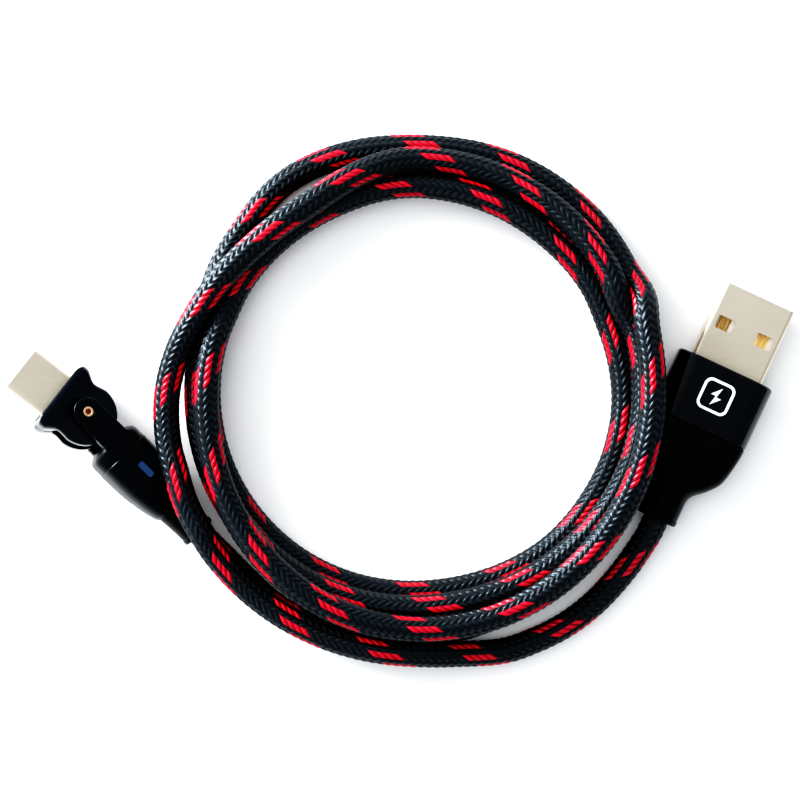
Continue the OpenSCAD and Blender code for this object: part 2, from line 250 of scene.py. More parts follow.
def moulded(name, colour, roughness, grain=2500.0, bump=0.15, spread=0.08, coat=0.0, shine=0.5):
    """Moulded plastic or paint with fine grain, faint mottling and smudged gloss."""
    material, nodes, links, shader = new_material(name, colour, roughness)
    fine = noise(nodes, links, grain)
    broad = noise(nodes, links, 160.0, 3.0)
    dark = tuple(c * 0.75 for c in colour)
    light = tuple(min(1.0, c * 1.25) for c in colour)
    links.new(ramp(nodes, links, broad.outputs["Fac"], dark, light), shader.inputs["Base Color"])
    gloss = ramp(
        nodes, links, broad.outputs["Fac"],
        grey(max(0.02, roughness - spread)), grey(roughness + spread),
    )
    links.new(gloss, shader.inputs["Roughness"])
    shader.inputs["Specular IOR Level"].default_value = shine
    shader.inputs["Coat Weight"].default_value = coat
    shader.inputs["Coat Roughness"].default_value = 0.06
    add_bump(nodes, links, shader, fine.outputs["Fac"], bump, 0.02)
    return material


def metal(name, colour, roughness, streaks=(1, 1, 1), bump=0.05):
    """Metal with faint drawn lines and patches of handling marks."""
    material, nodes, links, shader = new_material(name, colour, roughness, 1.0)
    lines = noise(nodes, links, 2400.0, 4.0, streaks)
    patches = noise(nodes, links, 120.0, 2.0)
    dark = tuple(c * 0.95 for c in colour)
    links.new(ramp(nodes, links, lines.outputs["Fac"], dark, colour), shader.inputs["Base Color"])
    rough = ramp(
        nodes, links, patches.outputs["Fac"],
        grey(max(0.05, roughness - 0.03)), grey(roughness + 0.05),
    )
    links.new(rough, shader.inputs["Roughness"])
    add_bump(nodes, links, shader, lines.outputs["Fac"], bump, 0.004)
    return material


def braid_material():
    """Nylon yarn: the mesh says which beads are red, and how deep each point lies, for painted
    shade.
    """
    material, nodes, links, shader = new_material("braid", grey(0.01), 0.38)
    yarn = nodes.new("ShaderNodeAttribute")
    yarn.attribute_name = "yarn"
    split = nodes.new("ShaderNodeSeparateColor")
    links.new(yarn.outputs["Color"], split.inputs[0])
    # Fibres run along each yarn, so they are fine across the second braid coordinate.
    place = nodes.new("ShaderNodeUVMap")
    place.uv_map = "braid"
    stretch = nodes.new("ShaderNodeMapping")
    stretch.inputs["Scale"].default_value = (1.2, 9, 1)
    links.new(place.outputs["UV"], stretch.inputs["Vector"])
    fibre = nodes.new("ShaderNodeTexNoise")
    fibre.inputs["Scale"].default_value = 1.0
    fibre.inputs["Detail"].default_value = 3.0
    links.new(stretch.outputs["Vector"], fibre.inputs["Vector"])
    black = ramp(nodes, links, fibre.outputs["Fac"], grey(0.003), (0.010, 0.012, 0.015))
    red = ramp(nodes, links, fibre.outputs["Fac"], (0.34, 0.0, 0.008), (0.6, 0.002, 0.03))
    mix = nodes.new("ShaderNodeMix")
    mix.data_type = "RGBA"
    links.new(split.outputs["Red"], mix.inputs["Factor"])
    links.new(black, mix.inputs["A"])
    links.new(red, mix.inputs["B"])
    # Painted shade: points that lie low between the beads are mixed towards near-black.
    painted_crevice_shade = nodes.new("ShaderNodeMix")
    painted_crevice_shade.data_type = "RGBA"
    painted_crevice_shade.inputs["B"].default_value = (0.001, 0.001, 0.0015, 1)
    # How much painted shade a point gets, from how low it lies on its bead.
    depth = ramp(nodes, links, split.outputs["Green"], grey(0.97), grey(0), 0.1, 0.55)
    links.new(depth, painted_crevice_shade.inputs["Factor"])
    links.new(mix.outputs["Result"], painted_crevice_shade.inputs["A"])
    links.new(painted_crevice_shade.outputs["Result"], shader.inputs["Base Color"])
    rough = ramp(nodes, links, fibre.outputs["Fac"], grey(0.28), grey(0.46))
    links.new(rough, shader.inputs["Roughness"])
    shader.inputs["Specular IOR Level"].default_value = 0.5
    shader.inputs["Specular Tint"].default_value = (0.8, 0.92, 1, 1)
    add_bump(nodes, links, shader, fibre.outputs["Fac"], 0.45, 0.05)
    return material


def board_material():
    """Circuit board: green mask with tinned tracks."""
    material, nodes, links, shader = new_material("board", (0.02, 0.16, 0.06), 0.35)
    tracks = nodes.new("ShaderNodeTexBrick")
    tracks.inputs["Scale"].default_value = 900.0
    tracks.inputs["Color1"].default_value = (0.02, 0.16, 0.06, 1)
    tracks.inputs["Color2"].default_value = (0.03, 0.21, 0.08, 1)
    tracks.inputs["Mortar"].default_value = (0.5, 0.5, 0.45, 1)
    coordinate = nodes.new("ShaderNodeTexCoord")
    links.new(coordinate.outputs["Object"], tracks.inputs["Vector"])
    links.new(tracks.outputs["Color"], shader.inputs["Base Color"])
    return material


def wire_material():
    """Wire insulation in patches of red and black."""
    material, nodes, links, shader = new_material("wires", (0.5, 0.02, 0.02), 0.4)
    patches = noise(nodes, links, 500.0, 1.0)
    colours = ramp(
        nodes, links, patches.outputs["Fac"], (0.02, 0.02, 0.02), (0.6, 0.02, 0.02), 0.48, 0.52
    )
    links.new(colours, shader.inputs["Base Color"])
    return material


# ---------------------------------------------------------------- mesh helpers

def section(w, h, r, per_corner=12):
    """Points round a rectangle w by h with corner radius r, as (y, z)."""
    points = []
    for corner, (sy, sz) in enumerate(((1, 1), (-1, 1), (-1, -1), (1, -1))):
        for i in range(per_corner):
            a = math.radians(90 * corner + 90 * i / (per_corner - 1))
            points.append((
                sy * (w / 2 - r) + r * math.cos(a),
                sz * (h / 2 - r) + r * math.sin(a),
            ))
    return points


def curve_part(value, power):
    return math.copysign(abs(value) ** (2 / power), value)


def oval(half_w, half_h, power, sides=96):
    """Points round a rounded oval, as (y, z). A power of 2 is an ellipse."""
    return [
        (half_w * curve_part(math.cos(a), power), half_h * curve_part(math.sin(a), power))
        for a in (2 * math.pi * i / sides for i in range(sides))
    ]


def smooth_stations(shape, step):
    """Fills a list of (distance, value, ...) rows with rows on a smooth curve through it."""
    rows = np.array(shape, float)
    x = rows[:, 0]
    slopes = np.diff(rows[:, 1:], axis=0) / np.diff(x)[:, None]
    tangents = np.zeros_like(rows[:, 1:])
    tangents[0], tangents[-1] = slopes[0], slopes[-1]
    for i in range(1, len(rows) - 1):
        a, b = slopes[i - 1], slopes[i]
        same = a * b > 0
        tangents[i] = np.where(same, 2 * a * b / np.where(same, a + b, 1), 0)
    out = []
    for i in range(len(rows) - 1):
        h = x[i + 1] - x[i]
        count = max(1, int(round(h / step)))
        for t in np.arange(count) / count:
            value = (
                (2 * t**3 - 3 * t**2 + 1) * rows[i, 1:]
                + (t**3 - 2 * t**2 + t) * h * tangents[i]
                + (3 * t**2 - 2 * t**3) * rows[i + 1, 1:]
                + (t**3 - t**2) * h * tangents[i + 1]
            )
            out.append((x[i] + t * h, *value))
    out.append(tuple(rows[-1]))
    return out


def skin(rings):
    """One closed mesh over rings of 3-D points, each end closed by a face."""
    n = len(rings[0])
    points = [p for ring in rings for p in ring]
    faces = []
    for k in range(len(rings) - 1):
        for i in range(n):
            j = (i + 1) % n
            faces.append((k * n + i, k * n + j, (k + 1) * n + j, (k + 1) * n + i))
    faces.append(tuple(range(n - 1, -1, -1)))
    last = (len(rings) - 1) * n
    faces.append(tuple(last + i for i in range(n)))
    return points, faces


def lift(x, outline):
    return [(x, y, z) for y, z in outline]


def make_piece(name, parts, place, material, body, replaced=(), sharp=35):
    """Joins (points, faces) parts, given in the local frame, into one piece on a body."""
    mesh = bpy.data.meshes.new(name)
    built = bmesh.new()
    for points, faces in parts:
        verts = [built.verts.new([c * MM for c in (place @ Vector(p))]) for p in points]
        for face in faces:
            built.faces.new([verts[i] for i in face])
    bmesh.ops.remove_doubles(built, verts=built.verts, dist=1e-8)
    bmesh.ops.dissolve_degenerate(built, edges=built.edges, dist=1e-8)
    bmesh.ops.recalc_face_normals(built, faces=built.faces)
    built.to_mesh(mesh)
    built.free()
    mesh.shade_smooth()
    mesh.set_sharp_from_angle(angle=math.radians(sharp))
    mesh.materials.append(material)
    piece = bpy.data.objects.new(name, mesh)
    bpy.context.scene.collection.objects.link(piece)
    weights = piece.modifiers.new("weighted", "WEIGHTED_NORMAL")
    weights.keep_sharp = True
    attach(piece, body)
    if replaced:
        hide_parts(*replaced)
    return piece


# ---------------------------------------------------------------- the cord's route

def catmull(points, step):
    """A smooth line through points, resampled at an even step."""
    p = np.vstack([2 * points[0] - points[1], points, 2 * points[-1] - points[-2]])
    out = []
    for i in range(1, len(p) - 2):
        a, b, c, d = p[i - 1], p[i], p[i + 1], p[i + 2]
        for t in np.arange(16) / 16:
            out.append(0.5 * (
                2 * b + (c - a) * t + (2 * a - 5 * b + 4 * c - d) * t**2
                + (3 * b - a - 3 * c + d) * t**3
            ))
    out.append(p[-2])
    return resample(np.array(out), step)


def arc_length(line):
    return np.concatenate([[0], np.cumsum(np.linalg.norm(np.diff(line, axis=0), axis=1))])


def resample(line, step):
    s = arc_length(line)
    count = max(2, int(round(s[-1] / step)) + 1)
    at = np.linspace(0, s[-1], count)
    return np.stack([np.interp(at, s, line[:, k]) for k in range(3)], axis=1)


def coil_points():
    """Points every 8 degrees or so round the coil, clockwise, from the tables of turns."""
    stations = [pair for row in TURNS for pair in row] + COIL_END
    table = np.array(stations, float)
    angles = -90 - 90 * np.arange(len(table), dtype=float)
    angles[-1] = angles[-2] - COIL_END_TURN
    known = [(-a, *row) for a, row in zip(angles, table)]
    known += [(90 + 90 * station, radius, height) for station, radius, height in CROSSINGS]
    rows = smooth_stations(sorted(known), 8)
    out = []
    for back, radius, height in rows[:-1]:
        a = math.radians(-back)
        out.append((
            COIL_PLACE[0] + radius * math.cos(a), COIL_PLACE[1] + radius * math.sin(a), height
        ))
    return out


def first_route():
    """The whole cord through its points, before it has settled."""
    end = AT_HANDLE @ Vector((RELIEF_BACK + 1, 0, 0))
    before = AT_HANDLE @ Vector((RELIEF_BACK - 4, 0, 0))
    coil = coil_points()[:-1]
    start = AT_USB_A @ Vector((-COVER["len"] - BOOT_LEN + 1, 0, 0))
    points = [tuple(start), *TAIL_ROUTE, *coil, tuple(before), tuple(end)]
    return catmull(np.array(points, float), 2.0)


def shape_at(x, shape, start):
    """Half width and half height of a lofted shape at local X."""
    table = np.array(shape, float)
    back = start - x
    return np.interp(back, table[:, 0], table[:, 1]), np.interp(back, table[:, 0], table[:, 2])


def push_out(points, free, place, spans, power):
    """Moves cord points out of a plug's housing, along its own section."""
    into = np.array(place.inverted())
    out_of = np.array(place)
    local = points @ into[:3, :3].T + into[:3, 3]
    for x0, x1, shape, start in spans:
        inside = free & (local[:, 0] > x0) & (local[:, 0] < x1)
        w, h = shape_at(local[:, 0], shape, start)
        w, h = w + CORD_D / 2, h + CORD_D / 2
        f = (np.abs(local[:, 1]) / w) ** power + (np.abs(local[:, 2]) / h) ** power
        hit = inside & (f < 1)
        grow = np.where(hit, np.maximum(f, 1e-3) ** (-1 / power), 1)
        # A point moves all of the way out in height, and half of it sideways.
        local[:, 1] = np.where(hit, local[:, 1] * (0.5 + 0.5 * grow), local[:, 1])
        local[:, 2] = np.where(hit, local[:, 2] * grow, local[:, 2])
    return local @ out_of[:3, :3].T + out_of[:3, 3]


# Points up to this many steps apart along the cord aren't tested against each other
STRAND_GAP = 8
# The points nearest each end of the cord aren't pushed out of the housing that they enter
EXIT_POINTS = 12


def plug_spans():
    """Stretches of the two housings that the cord may lie on, as (from, to, shape, start)."""
    cover = [(0, COVER["w"] / 2, COVER["h"] / 2), (COVER["len"], 8.1, 3.98)]
    relief = [(0, 3.0, 3.0), (6, 2.9, 2.9)]
    cover_back = -COVER["len"]
    usb_a = [
        (cover_back, 1, cover, 0.0),
        (cover_back - BOOT_LEN - 0.5, cover_back, BOOT_SHAPE, cover_back),
    ]
    handle = [
        (SLEEVE_BACK, SEAM, SLEEVE_SHAPE, SEAM),
        (RELIEF_BACK - 0.5, SLEEVE_BACK, relief, SLEEVE_BACK),
    ]
    return usb_a, handle


def close_pairs(points):
    """Pairs of points on different strands that touch or nearly touch."""
    gap = np.linalg.norm(points[:, None] - points[None], axis=2)
    i, j = np.nonzero(gap < CORD_D + 2)
    apart = (j - i) > STRAND_GAP
    return i[apart], j[apart]


def push_apart(points, held, pairs):
    """Moves strands that overlap away from each other, mostly in height."""
    i, j = pairs
    away = points[i] - points[j]
    length = np.linalg.norm(away, axis=1)
    deep = CORD_D - length
    touch = deep > 0
    i, j, away, length, deep = i[touch], j[touch], away[touch], length[touch], deep[touch]
    shift = away / length[:, None] * deep[:, None] * np.array([0.12, 0.12, 0.3])
    change = np.zeros_like(points)
    np.add.at(change, i, shift)
    np.add.at(change, j, -shift)
    change[held] = 0
    points += change


def settle(line, rounds=500):
    """Lets the cord drop onto the table, onto itself and onto the plugs, keeping its plan."""
    points = line.copy()
    over = np.array(CAMERA_OVER)
    plan = points[:, :2].copy()
    held = np.zeros(len(points), bool)
    held[:3] = held[-4:] = True
    index = np.arange(len(points))
    off_usb_a = index > EXIT_POINTS
    off_handle = index < len(points) - EXIT_POINTS
    usb_a_spans, handle_spans = plug_spans()
    for k in range(rounds):
        # The last fifth of the rounds is slower, so that the strands come to rest.
        points[~held, 2] -= 0.05 if k < rounds * 0.8 else 0.01
        scale = (CAMERA_HEIGHT - points[:, 2:3]) / (CAMERA_HEIGHT - VIEW_LEVEL)
        want = over + (plan - over) * scale
        points[~held, :2] += 0.12 * (want - points[:, :2])[~held]
        middle = 0.5 * (points[:-2] + points[2:]) - points[1:-1]
        moved = ~held[1:-1]
        points[1:-1][moved] += (middle * np.array([0.15, 0.15, 0.45]))[moved]
        if k % 10 == 0:
            pairs = close_pairs(points)
        push_apart(points, held, pairs)
        points = push_out(points, off_usb_a, AT_USB_A, usb_a_spans, 3.2)
        points = push_out(points, off_handle, AT_HANDLE, handle_spans, 3.0)
        points[~held, 2] = np.maximum(points[~held, 2], CORD_D / 2)
        points[held] = line[held]
    return points


def frames_along(line):
    """Tangent, side and up at each point, with no twist from one to the next."""
    tangent = np.gradient(line, axis=0)
    tangent /= np.linalg.norm(tangent, axis=1)[:, None]
    side = np.zeros_like(line)
    side[0] = np.cross(tangent[0], [0, 0, 1])
    side[0] /= np.linalg.norm(side[0])
    for k in range(1, len(line)):
        v = side[k - 1] - tangent[k] * np.dot(side[k - 1], tangent[k])
        side[k] = v / np.linalg.norm(v)
    return tangent, side, np.cross(tangent, side)


# ---------------------------------------------------------------- the braid

YARN_COLUMNS = 12     # columns of beads round the cord, leaning one way and then the other
YARNS_ONE_WAY = 12    # yarns that run clockwise
RED_YARNS = 4         # of those, the red ones lie side by side
BEAD = 1.25           # length of one bead along the cord
ACROSS = 4            # mesh faces across one bead
ALONG = 4             # mesh faces along one bead
ROUND = YARN_COLUMNS * ACROSS
# How far a bead rises across and along itself, from 0 at its lowest to 1 at its crown
# The braid's material also paints shade where the rise is low.
ACROSS_RISE = (0.3, 0.88, 1.0, 0.88)
ALONG_RISE = (0.05, 0.8, 1.0, 0.8)
# Radius of the cord where the beads are lowest, and how much their crowns add
YARN_LOW = 1.8
YARN_RISE = 0.33


def bead_start(column):
    """Every second column of beads starts half a bead later."""
    return np.where(column % 2 == 0, 0, ALONG // 2)


def braid_points(fine, rows):
    """Mesh points row by row, and how far each one rises on its bead.

    The rows zigzag with the yarns, so that every bead's edge is a mesh edge.
    """
    at = arc_length(fine)
    tangent, side, up = frames_along(fine)
    column = np.arange(ROUND) // ACROSS
    within = np.arange(ROUND) % ACROSS
    lean = np.where(column % 2 == 0, 1.0, -1.0)
    zigzag = lean * (within / ACROSS - 0.5) * BEAD
    k = np.arange(rows + 1)[:, None]
    s = np.clip(k * BEAD / ALONG + zigzag[None, :], 0, at[-1])
    angle = (2 * np.pi * np.arange(ROUND) / ROUND)[None, :] + 0 * k
    across = np.array(ACROSS_RISE)[within][None, :]
    along = np.array(ALONG_RISE)[(k + bead_start(column)[None, :]) % ALONG]
    rise = np.where((within == 0)[None, :], ACROSS_RISE[0], across * along)
    radius = YARN_LOW + YARN_RISE * rise

    def place(values):
        return np.stack([np.interp(s, at, values[:, c]) for c in range(3)], axis=2)

    points = place(fine) + radius[..., None] * (
        place(side) * np.cos(angle)[..., None] + place(up) * np.sin(angle)[..., None]
    )
    return points.reshape(-1, 3) * MM, rise.reshape(-1)


def braid_faces(rows):
    """Faces of the grid. Returns them with which are red, and their places on the yarns."""
    kk, ii = np.meshgrid(np.arange(rows), np.arange(ROUND), indexing="ij")
    jj = (ii + 1) % ROUND
    faces = np.stack(
        [kk * ROUND + ii, kk * ROUND + jj, (kk + 1) * ROUND + jj, (kk + 1) * ROUND + ii], axis=2
    ).reshape(-1, 4)
    column = (ii // ACROSS).reshape(-1)
    row = (kk + bead_start(ii // ACROSS)).reshape(-1)
    bead = row // ALONG
    red = (column % 2 == 0) & ((column - bead) % YARNS_ONE_WAY < RED_YARNS)
    u0 = ((ii % ACROSS) / ACROSS).reshape(-1)
    v0 = (row % ALONG) / ALONG
    du, dv = 1 / ACROSS, 1 / ALONG
    # The steps from column to column and bead to bead give each bead fibres of its own.
    u = np.stack([u0, u0 + du, u0 + du, u0], axis=1) + column[:, None] * 3.0
    v = np.stack([v0, v0, v0 + dv, v0 + dv], axis=1) + bead[:, None] * 1.37
    return faces, red, np.stack([u, v], axis=2)


def braid_mesh(line):
    """The braided sleeve as real beads, with the red yarns and the painted shade of the gaps in an
    attribute.
    """
    fine = catmull(line, 0.5)
    rows = int(arc_length(fine)[-1] / BEAD * ALONG)
    points, rise = braid_points(fine, rows)
    faces, red, places = braid_faces(rows)
    mesh = bpy.data.meshes.new("braided_cord")
    mesh.vertices.add(len(points))
    mesh.vertices.foreach_set("co", points.reshape(-1))
    mesh.loops.add(faces.size)
    mesh.loops.foreach_set("vertex_index", faces.reshape(-1).astype(np.int32))
    mesh.polygons.add(len(faces))
    mesh.polygons.foreach_set("loop_start", np.arange(0, faces.size, 4, dtype=np.int32))
    mesh.update(calc_edges=True)
    mesh.validate()
    uv = mesh.uv_layers.new(name="braid")
    uv.data.foreach_set("uv", places.reshape(-1).astype(np.float32))
    colour = mesh.color_attributes.new("yarn", "FLOAT_COLOR", "CORNER")
    values = np.zeros((len(faces), 4, 4), np.float32)
    values[..., 0] = red[:, None]
    # Green holds the rise, which the material turns into painted shade in the gaps.
    values[..., 1] = rise[faces]
    values[..., 3] = 1
    colour.data.foreach_set("color", values.reshape(-1))
    mesh.shade_smooth()
    return mesh, fine


def close_ends(mesh):
    built = bmesh.new()
    built.from_mesh(mesh)
    open_edges = [e for e in built.edges if e.is_boundary]
    bmesh.ops.holes_fill(built, edges=open_edges, sides=0)
    bmesh.ops.recalc_face_normals(built, faces=built.faces)
    built.to_mesh(mesh)
    built.free()


def make_cord():
    """The whole cord, from the USB-A neck to the strain relief."""
    mesh, fine = braid_mesh(settle(first_route()))
    close_ends(mesh)
    mesh.materials.append(braid_material())
    cord = bpy.data.objects.new("braided_cord", mesh)
    bpy.context.scene.collection.objects.link(cord)
    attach(cord, "cable")
    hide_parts("cord_coil", "cord_tail")


# ---------------------------------------------------------------- USB-A end

def make_cover(material):
    """Glossy block with soft front edges and a slot that the plug shell comes out of."""
    w, h, r = COVER["w"], COVER["h"], COVER["round"]
    back, back_edge, front_edge = -COVER["len"], 0.2, 0.45
    rings = [lift(back, section(w - 0.5, h - 0.5, r - 0.25))]
    for a in (20, 45, 70, 90):
        t = math.radians(a)
        inset = back_edge * (1 - math.sin(t))
        x = back + back_edge * (1 - math.cos(t))
        rings.append(lift(x, section(w - 2 * inset, h - 2 * inset, r - inset)))
    for a in (0, 22, 45, 67, 90):
        t = math.radians(a)
        inset = front_edge * (1 - math.cos(t))
        x = -front_edge + front_edge * math.sin(t)
        rings.append(lift(x, section(w - 2 * inset, h - 2 * inset, r - inset)))
    sw, sh = USB_A_SHELL["w"] + 0.14, USB_A_SHELL["h"] + 0.14
    rings.append(lift(0, section(sw + 0.3, sh + 0.3, 0.9)))
    rings.append(lift(-0.12, section(sw, sh, 0.75)))
    rings.append(lift(-1.6, section(sw, sh, 0.75)))
    make_piece("usb_a_front_cover", [skin(rings)], AT_USB_A, material, "cable",
               ["usb_a_cover"])


def make_boot(material):
    """Rounded shoulder that narrows to the neck, with a small lip where the cord leaves."""
    start = -COVER["len"]
    rings = []
    front_edge = [(0.0, 0.35), (0.1, 0.12), (0.25, 0.0)]
    for back, inset in front_edge:
        w, h = shape_at(start - back, BOOT_SHAPE, start)
        rings.append(lift(start - back, oval(w - inset, h - inset, 4.2)))
    for back, w, h in smooth_stations(BOOT_SHAPE[1:], 0.35):
        power = 2 + 2.2 * min(1, max(0, (11 - back) / 8))
        rings.append(lift(start - back, oval(w, h, power)))
    end = start - BOOT_LEN
    hole = CORD_D / 2 + 0.12
    rings.append(lift(end, oval(hole + 0.25, hole + 0.25, 2)))
    rings.append(lift(end + 0.2, oval(hole, hole, 2)))
    rings.append(lift(end + 1.4, oval(hole, hole, 2)))
    make_piece("usb_a_rear_boot", [skin(rings)], AT_USB_A, material, "cable",
               ["usb_a_boot"])


def make_contact_leaves(material):
    """Four gilt leaves on the tongue. The two outer ones are wide and lie under the windows."""
    parts = []
    for y, half in ((-3.35, 0.95), (-1, 0.5), (1, 0.5), (3.35, 0.95)):
        across = np.linspace(-1, 1, 25)
        top = [(y + half * a, 0.17 + 0.07 * math.cos(3 * math.pi * a)) for a in across]
        outline = top + [(y + half, 0.01), (y - half, 0.01)]
        rings = [lift(x, outline) for x in (1.5, 3.0, 5.0, 7.0, 9.0, 10.4)]
        rings.append(lift(10.7, [(py, min(pz, 0.06)) for py, pz in outline]))
        parts.append(skin(rings))
    make_piece("usb_a_contact_leaves", parts, AT_USB_A, material, "cable",
               ["usb_a_contacts"])


# ---------------------------------------------------------------- USB-C end

# Radius and half thickness of the head's knuckle, and half the height of its wire channel
KNUCKLE_R = 5.05
KNUCKLE_HALF = 2.6
CHANNEL = 1.3
# Face of the lip, and how far the plug shell stands out of it
LIP_FRONT = 5.9
USB_C_REACH = 6.6
# Half width, half height and edge radius of the head in front of the pivot
HEAD_SHAPE = [
    (0, 5.05, 2.6, 0.6), (1.0, 4.85, 2.6, 0.6), (1.7, 4.78, 2.62, 0.7), (2.3, 4.95, 2.7, 0.8),
    (2.9, 5.35, 2.88, 1.0), (3.5, 5.75, 3.1, 1.2), (4.1, 5.96, 3.3, 1.4), (4.7, 6.0, 3.42, 1.4),
    (5.3, 6.0, 3.42, 1.3), (5.6, 5.94, 3.36, 1.2),
]


def half_section(half_w, half_h, edge, low, per_corner=9):
    """The upper half of a head section, as (y, z), closed along its lower side."""
    edge = min(edge, half_w * 0.98, half_h - low - 0.02)
    points = [(half_w, low + 0.06), (half_w, (low + half_h - edge) / 2)]
    for i in range(per_corner):
        a = math.radians(90 * i / (per_corner - 1))
        points.append((half_w - edge + edge * math.cos(a), half_h - edge + edge * math.sin(a)))
    mirrored = [(-y, z) for y, z in reversed(points)]
    inset = min(0.06, half_w * 0.5)
    return points + mirrored + [(-half_w + inset, low), (half_w - inset, low)]


def head_rings():
    """Sections from the back of the knuckle to the face of the lip."""
    rings = []
    for a in np.linspace(4, 86, 22):
        t = math.radians(a)
        x = -KNUCKLE_R * math.cos(t)
        w = KNUCKLE_R * math.sin(t)
        rings.append(lift(x, half_section(w, KNUCKLE_HALF, 0.5, CHANNEL)))
    # The channel closes towards the lip, so that only a parting line is left there.
    for x, w, h, edge in smooth_stations(HEAD_SHAPE, 0.12):
        low = CHANNEL if x < 2.1 else max(0.03, CHANNEL - (x - 2.1) * 3)
        rings.append(lift(x, half_section(w, h, edge, low)))
    for a in (25, 50, 75, 90):
        t = math.radians(a)
        inset = 0.3 * (1 - math.cos(t))
        rings.append(
            lift(5.6 + 0.3 * math.sin(t), half_section(5.94 - inset, 3.36 - inset, 1.2, 0.03))
        )
    return [[bow(p) for p in ring] for ring in rings]


def bow(point):
    """The lip's face bows back a little towards its two ends."""
    x, y, z = point
    return (x - 0.9 * max(0, (x - 3.4) / 2.5) * (abs(y) / 6) ** 3, y, z)


def make_head(material):
    """The two shells of the swinging head, one the mirror image of the other."""
    rings = head_rings()
    make_piece("head_shell_upper", [skin(rings)], AT_HEAD, material, "swing_head",
               ["head_upper"], sharp=40)
    lower = [[(x, y, -z) for x, y, z in ring] for ring in rings]
    make_piece("head_shell_lower", [skin(lower)], AT_HEAD, material, "swing_head",
               ["head_lower"], sharp=40)


def make_usb_c_shell(material):
    """Seamless drawn shell: rolled front edge, and the wall seen from the mouth."""
    w, h, wall = USB_C_SHELL["w"], USB_C_SHELL["h"], USB_C_SHELL["wall"]
    tip, edge = LIP_FRONT + USB_C_REACH, 0.16

    def pill(inset):
        return section(w - 2 * inset, h - 2 * inset, h / 2 - inset - 0.01, 16)

    rings = [lift(4.4, pill(0))]
    for a in (0, 30, 60, 90):
        t = math.radians(a)
        rings.append(lift(tip - edge + edge * math.sin(t), pill(edge * (1 - math.cos(t)))))
    rings.append(lift(tip - 0.08, pill(wall)))
    rings.append(lift(6.2, pill(wall)))
    make_piece("usb_c_plug_shell", [skin(rings)], AT_HEAD, material, "swing_head",
               ["usb_c_shell"])


# Half width of a fork arm, heights of its inner and outer faces, and radius of the screw hole
ARM_HALF = 2.35
ARM_LOW = 2.9
ARM_TOP = 4.1
SCREW_HOLE = 0.95
# Where the arm ends inside the shoulder
ARM_REACH = 6.6


def arm_rings(side):
    """One fork arm as rings round the pivot: rounded edges and a counterbored hole."""
    count, edge = 72, 0.3

    def outline(grow, z):
        points = []
        for i in range(count):
            a = 2 * math.pi * i / count
            c, s = math.cos(a), math.sin(a)
            r = ARM_HALF if c >= 0 else min(ARM_HALF / max(abs(s), 1e-6), ARM_REACH / -c)
            points.append(((r + grow) * c, (r + grow) * s, side * z))
        return points

    def hole(r, z):
        return [
            (r * math.cos(2 * math.pi * i / count), r * math.sin(2 * math.pi * i / count),
             side * z)
            for i in range(count)
        ]

    rings = [hole(0.7, ARM_LOW), outline(-0.15, ARM_LOW), outline(0, ARM_LOW + 0.15)]
    for a in (0, 22, 45, 67, 90):
        t = math.radians(a)
        rings.append(outline(-edge * (1 - math.cos(t)), ARM_TOP - edge + edge * math.sin(t)))
    rings += [hole(SCREW_HOLE + 0.12, ARM_TOP), hole(SCREW_HOLE, ARM_TOP - 0.1),
              hole(SCREW_HOLE, ARM_TOP - 0.55)]
    return rings


def make_yoke(material):
    """Fork that holds the knuckle: a collar at the seam, a shoulder and two arms."""
    shape = [(0, 4.42, 4.02), (0.12, 4.5, 4.1), (1.5, 4.5, 4.1), (2.1, 4.35, 4.1),
             (2.7, 3.7, 4.08), (3.1, 2.9, 4.05), (3.25, 2.4, 4.0)]
    rings = []
    for forward, w, h in smooth_stations(shape, 0.15):
        r = min(3.2, w - 0.05)
        rings.append(lift(SEAM + forward, section(2 * w, 2 * h, r)))
    parts = [skin(rings), skin(arm_rings(1)), skin(arm_rings(-1))]
    make_piece("yoke_fork", parts, AT_HANDLE, material, "cable", ["yoke"])


def star(r, lobe, z, side, count=72):
    """A six-lobed outline, as in a star-drive screw."""
    points = []
    for i in range(count):
        a = 2 * math.pi * i / count
        reach = r + lobe * math.cos(6 * a)
        points.append((reach * math.cos(a), reach * math.sin(a), side * z))
    return points


def make_screws(brass, painted_recess_shade):
    """Two star-drive screws: domed rims, and star-shaped sockets whose dark fill is painted shade.
    """
    heads, sockets = [], []
    top = ARM_TOP + 0.04
    for side in (1, -1):
        rings = [star(0.55, 0, CHANNEL + 0.1, side), star(0.55, 0, ARM_TOP - 0.5, side),
                 star(0.82, 0, ARM_TOP - 0.5, side), star(0.85, 0, ARM_TOP - 0.1, side),
                 star(0.8, 0, top - 0.04, side), star(0.7, 0, top, side),
                 star(0.56, 0.02, top, side), star(0.46, 0.07, top - 0.05, side),
                 star(0.43, 0.08, top - 0.33, side)]
        heads.append(skin(rings))
        # A dark red-brown piece in each socket stands for the shade in its recess: painted shade.
        sockets.append(skin([star(0.44, 0.08, top - 0.32, side), star(0.44, 0.08, top - 0.2, side),
                             star(0.1, 0.0, top - 0.27, side)]))
    make_piece("pivot_screw_heads", heads, AT_HANDLE, brass, "cable",
               ["pivot_screws"])
    make_piece("pivot_screw_sockets", sockets, AT_HANDLE, painted_recess_shade, "cable")


# Middle of the light window behind the pivot, the size of its slot, and the slot's corner radius
WINDOW_X = -12.8
WINDOW_SLOT = (3.06, 1.26)
WINDOW_ROUND = 0.45


